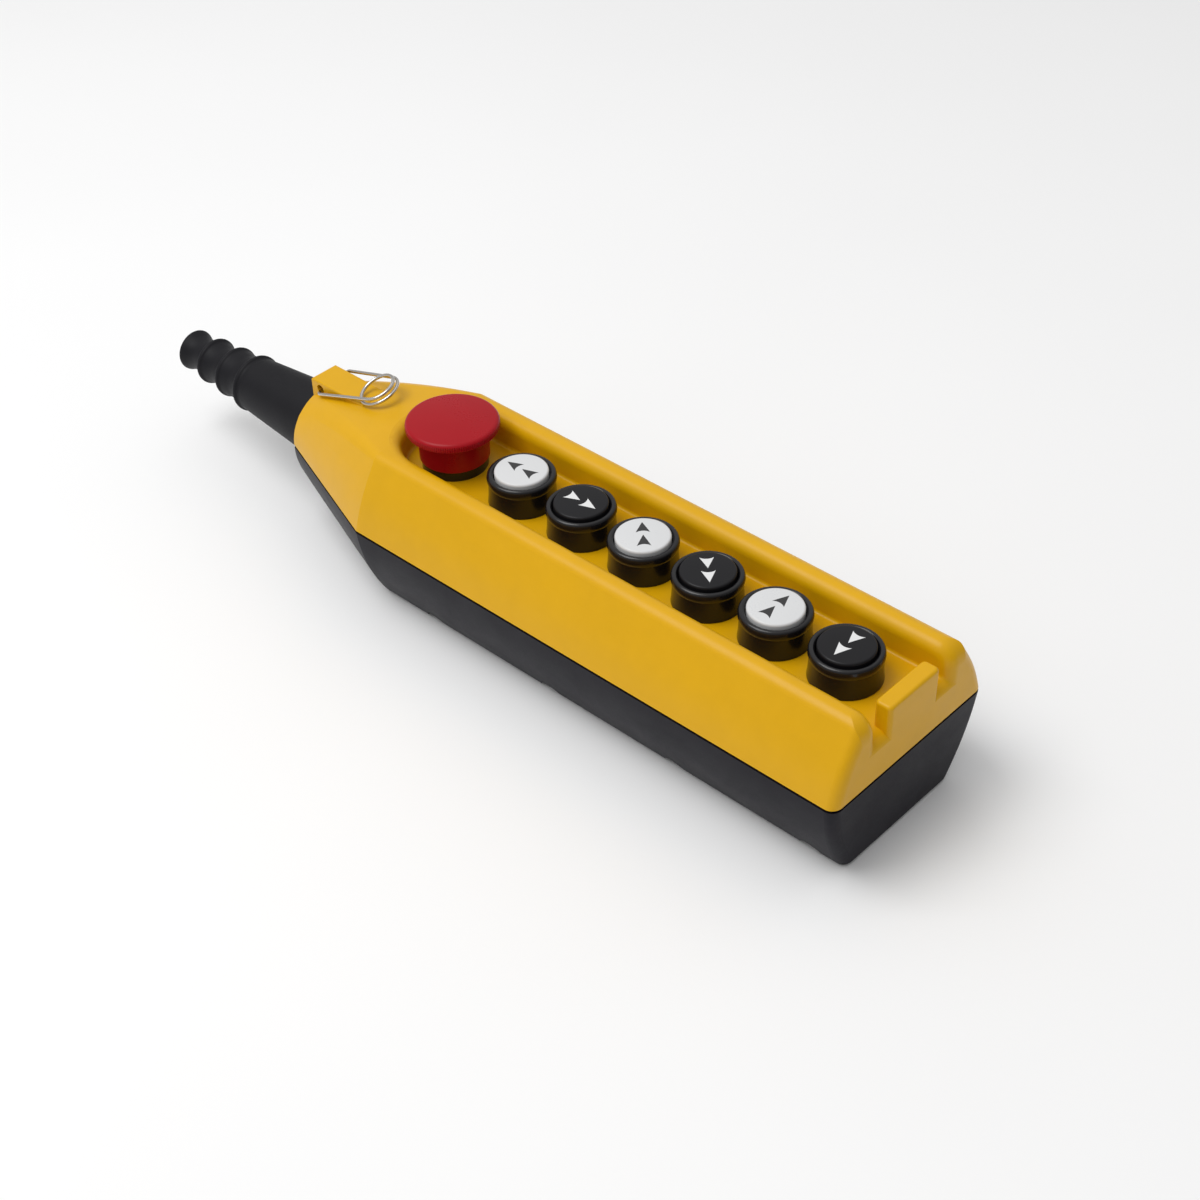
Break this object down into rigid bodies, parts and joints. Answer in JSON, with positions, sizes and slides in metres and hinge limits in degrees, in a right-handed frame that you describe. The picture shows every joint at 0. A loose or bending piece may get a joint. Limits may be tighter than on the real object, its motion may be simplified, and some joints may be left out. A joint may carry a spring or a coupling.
{
  "type": "hanging pendant control station",
  "caption": "Hand-held hanging control station: tapered two-shell casing with ribbed cable boot, wire hanging ring, mushroom stop button and a row of guarded push buttons.",
  "frame": {"origin": "under the middle of the bounding box, on the flat back of the casing", "axes": "+X along the casing from the cable boot to the foot, +Z out of the button face, +Y across the casing"},
  "size_m": [0.42, 0.092, 0.0818],
  "materials": {
    "yellow_plastic": "satin moulded",
    "black_plastic": "satin moulded",
    "black_rubber": "matt moulded",
    "red_plastic": "satin moulded",
    "white_plastic": "satin moulded",
    "grey_plastic": "satin moulded",
    "bright_wire": "bright drawn wire",
    "zinc_steel": "zinc plated",
    "spring_steel": "drawn",
    "brass": "turned"
  },
  "bodies": {
    "casing": {"front_cover": "yellow_plastic", "back_cover": "black_plastic", "cover_gasket": "black_rubber", "cover_screws": "zinc_steel", "screw_inserts": "brass", "cable_boot": "black_rubber", "cable_clamp": "zinc_steel", "clamp_screws": "zinc_steel", "lock_nuts": "black_plastic", "panel_seals": "black_rubber", "terminal_screws": "zinc_steel", "contact_rail": "zinc_steel", "rail_screws": "zinc_steel", "stop_body": "black_plastic", "stop_contact_block": "grey_plastic", "stop_spring": "spring_steel", "button_guard_1": "black_plastic", "button_guard_2": "black_plastic", "button_guard_3": "black_plastic", "button_guard_4": "black_plastic", "button_guard_5": "black_plastic", "button_guard_6": "black_plastic", "contact_block_1": "grey_plastic", "contact_block_2": "grey_plastic", "contact_block_3": "grey_plastic", "contact_block_4": "grey_plastic", "contact_block_5": "grey_plastic", "contact_block_6": "grey_plastic", "button_spring_1": "spring_steel", "button_spring_2": "spring_steel", "button_spring_3": "spring_steel", "button_spring_4": "spring_steel", "button_spring_5": "spring_steel", "button_spring_6": "spring_steel"},
    "stop_stem": {"stop_stem": "grey_plastic", "stop_plunger": "grey_plastic"},
    "stop_head": {"stop_head": "red_plastic"},
    "suspension_ring": {"suspension_ring": "bright_wire"},
    "button_1": {"button_cap_1": "white_plastic", "button_arrows_1": "black_plastic", "contact_plunger_1": "grey_plastic"},
    "button_2": {"button_cap_2": "black_plastic", "button_arrows_2": "white_plastic", "contact_plunger_2": "grey_plastic"},
    "button_3": {"button_cap_3": "white_plastic", "button_arrows_3": "black_plastic", "contact_plunger_3": "grey_plastic"},
    "button_4": {"button_cap_4": "black_plastic", "button_arrows_4": "white_plastic", "contact_plunger_4": "grey_plastic"},
    "button_5": {"button_cap_5": "white_plastic", "button_arrows_5": "black_plastic", "contact_plunger_5": "grey_plastic"},
    "button_6": {"button_cap_6": "black_plastic", "button_arrows_6": "white_plastic", "contact_plunger_6": "grey_plastic"}
  },
  "joints": [
    {"name": "stop_push", "type": "slide", "parent": "casing", "child": "stop_stem", "axis": [0, 0, -1], "range_m": [0, 0.004], "deforming": ["stop_spring"]},
    {"name": "stop_turn", "type": "hinge", "parent": "stop_stem", "child": "stop_head", "pos_m": [-0.02935, 0, 0.0767], "axis": [0, 0, -1], "range_deg": [0, 40], "stiffness_Nm_per_rad": 0.02},
    {"name": "ring_swing", "type": "hinge", "parent": "casing", "child": "suspension_ring", "pos_m": [-0.10715, 0, 0.0652], "axis": [0, -1, 0], "range_deg": [0, 165]},
    {"name": "button_1_push", "type": "slide", "parent": "casing", "child": "button_1", "axis": [0, 0, -1], "range_m": [0, 0.0055], "stiffness_N_per_m": 400, "springref_m": -0.004, "deforming": ["button_spring_1"]},
    {"name": "button_2_push", "type": "slide", "parent": "casing", "child": "button_2", "axis": [0, 0, -1], "range_m": [0, 0.0055], "stiffness_N_per_m": 400, "springref_m": -0.004, "deforming": ["button_spring_2"]},
    {"name": "button_3_push", "type": "slide", "parent": "casing", "child": "button_3", "axis": [0, 0, -1], "range_m": [0, 0.0055], "stiffness_N_per_m": 400, "springref_m": -0.004, "deforming": ["button_spring_3"]},
    {"name": "button_4_push", "type": "slide", "parent": "casing", "child": "button_4", "axis": [0, 0, -1], "range_m": [0, 0.0055], "stiffness_N_per_m": 400, "springref_m": -0.004, "deforming": ["button_spring_4"]},
    {"name": "button_5_push", "type": "slide", "parent": "casing", "child": "button_5", "axis": [0, 0, -1], "range_m": [0, 0.0055], "stiffness_N_per_m": 400, "springref_m": -0.004, "deforming": ["button_spring_5"]},
    {"name": "button_6_push", "type": "slide", "parent": "casing", "child": "button_6", "axis": [0, 0, -1], "range_m": [0, 0.0055], "stiffness_N_per_m": 400, "springref_m": -0.004, "deforming": ["button_spring_6"]}
  ]
}
